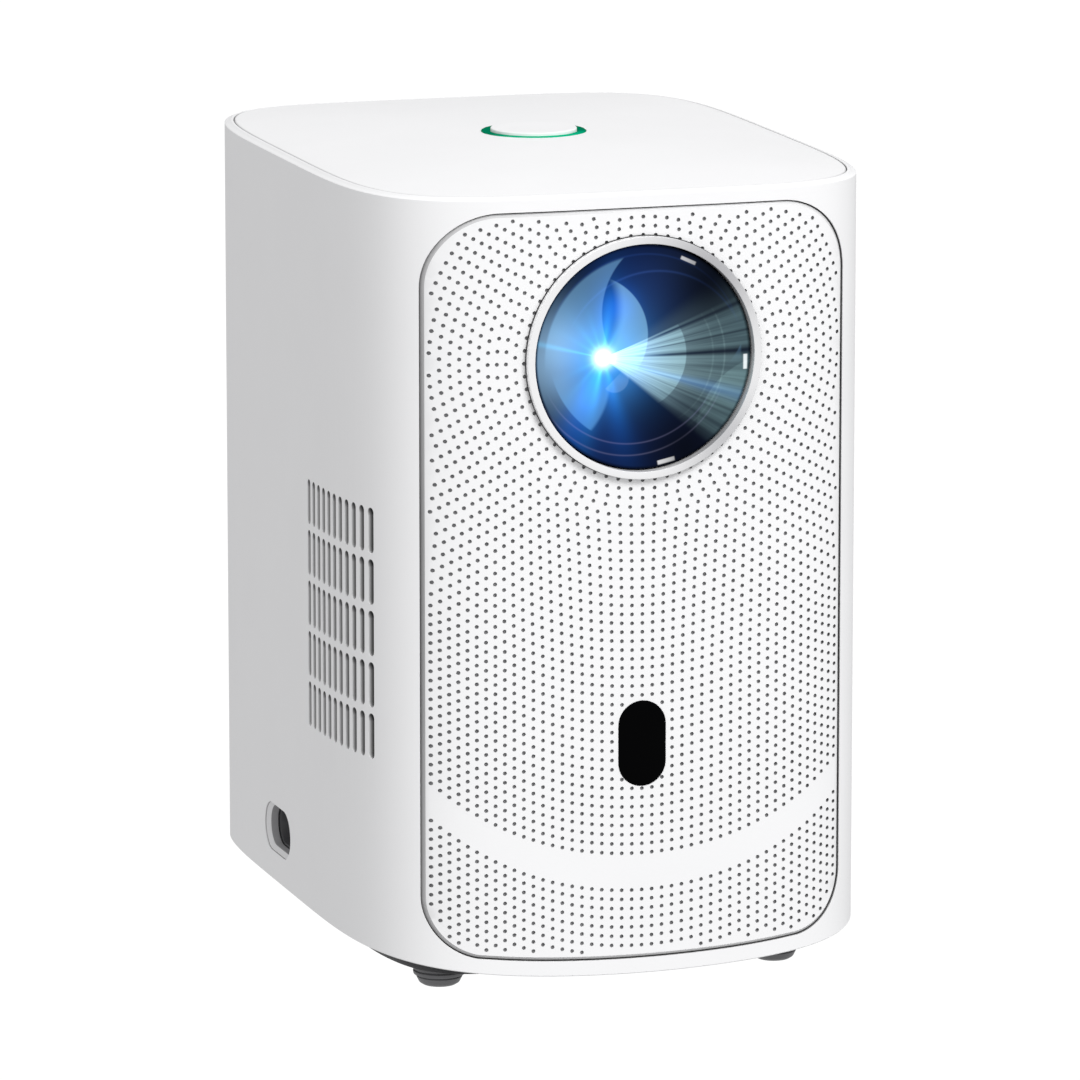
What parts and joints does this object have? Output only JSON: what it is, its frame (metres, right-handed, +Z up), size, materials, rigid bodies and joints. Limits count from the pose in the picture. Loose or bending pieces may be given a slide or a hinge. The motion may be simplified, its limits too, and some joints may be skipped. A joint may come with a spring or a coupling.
{
  "type": "home projector",
  "caption": "Upright rounded-box home projector with a large focusing lens, perforated front, side vents, power inlet, lit top button and rubber feet.",
  "frame": {"origin": "centre of the outline at the level of the feet, where the object stands", "axes": "-Y is the front, where the lens looks; +X is to the right of someone who looks at the front; +Z is up"},
  "size_m": [0.1452, 0.1938, 0.2227],
  "materials": {
    "white_plastic": "fine satin",
    "grey_plastic": "matte",
    "black_plastic": "satin",
    "window_plastic": "gloss",
    "light_ring": "translucent, lit green",
    "foot_rubber": "matte",
    "bezel_metal": "satin",
    "steel": "satin",
    "brass": "satin",
    "aluminium": "satin",
    "lens_glass": "coated, polished",
    "mirror": "polished",
    "circuit_board": "satin",
    "speaker_paper": "matte",
    "gear_plastic": "satin"
  },
  "bodies": {
    "root": {"main_shell": "white_plastic", "top_lid": "white_plastic", "button_light_ring": "light_ring", "front_grille": "white_plastic", "front_frame": "grey_plastic", "lens_bezel": "bezel_metal", "ir_window": "window_plastic", "ir_receiver": "circuit_board", "base_plate": "black_plastic", "tripod_insert": "brass", "ac_inlet": "grey_plastic", "ac_pin_front": "brass", "ac_pin_rear": "brass", "rear_port_plate": "black_plastic", "hdmi_port": "steel", "usb_port": "steel", "audio_jack": "black_plastic", "button_board": "circuit_board", "tact_switch": "black_plastic", "optical_box": "black_plastic", "mirror_hood": "black_plastic", "fold_mirror": "mirror", "led_module": "brass", "heat_sink": "aluminium", "condenser_lens": "lens_glass", "heat_glass": "lens_glass", "fresnel_lower": "lens_glass", "lcd_panel": "window_plastic", "fresnel_upper": "lens_glass", "lens_holder": "black_plastic", "focus_motor": "steel", "fan_frame": "black_plastic", "speaker_frame_left": "steel", "speaker_frame_right": "steel", "main_board": "circuit_board", "chip_heat_sink": "aluminium", "power_board": "circuit_board", "power_transformer": "black_plastic", "power_capacitor": "window_plastic", "wifi_antenna": "circuit_board", "foot_front_left": "foot_rubber", "base_screw_front_left": "steel", "foot_front_right": "foot_rubber", "base_screw_front_right": "steel", "foot_rear_left": "foot_rubber", "base_screw_rear_left": "steel", "foot_rear_right": "foot_rubber", "base_screw_rear_right": "steel"},
    "power_button": {"power_button": "white_plastic"},
    "fan_rotor": {"fan_rotor": "black_plastic"},
    "focus_ring": {"focus_ring": "gear_plastic"},
    "focus_pinion": {"focus_pinion": "gear_plastic"},
    "lens_barrel": {"lens_barrel": "black_plastic", "lens_front": "lens_glass", "lens_middle": "lens_glass", "lens_rear": "lens_glass"},
    "speaker_cone_left": {"speaker_cone_left": "speaker_paper"},
    "speaker_cone_right": {"speaker_cone_right": "speaker_paper"}
  },
  "joints": [
    {"name": "power_button_press", "type": "slide", "parent": "root", "child": "power_button", "axis": [0, 0, -1], "range_m": [0, 0.0008], "stiffness_N_per_m": 900, "springref_m": -0.0002},
    {"name": "fan_spin", "type": "hinge", "parent": "root", "child": "fan_rotor", "pos_m": [-0.0535, -0.0435, 0.099], "axis": [1, 0, 0], "continuous": true},
    {"name": "lens_focus", "type": "slide", "parent": "root", "child": "lens_barrel", "axis": [0, -1, 0], "range_m": [-0.003, 0.003]},
    {"name": "focus_ring_turn", "type": "hinge", "parent": "root", "child": "focus_ring", "pos_m": [0, -0.058, 0.1741], "axis": [0, 1, 0], "range_deg": [-46, 46]},
    {"name": "focus_pinion_turn", "type": "hinge", "parent": "root", "child": "focus_pinion", "pos_m": [-0.0309, -0.058, 0.1432], "axis": [0, 1, 0], "range_deg": [-218, 218]},
    {"name": "speaker_left_stroke", "type": "slide", "parent": "root", "child": "speaker_cone_left", "axis": [0, -1, 0], "range_m": [-0.0005, 0.0005], "stiffness_N_per_m": 1500},
    {"name": "speaker_right_stroke", "type": "slide", "parent": "root", "child": "speaker_cone_right", "axis": [0, -1, 0], "range_m": [-0.0005, 0.0005], "stiffness_N_per_m": 1500}
  ],
  "couplings": [
    {"joint": "focus_ring_turn", "follows": "lens_focus", "rad_per_m": 261.8},
    {"joint": "focus_pinion_turn", "follows": "lens_focus", "rad_per_m": -1256.6}
  ]
}
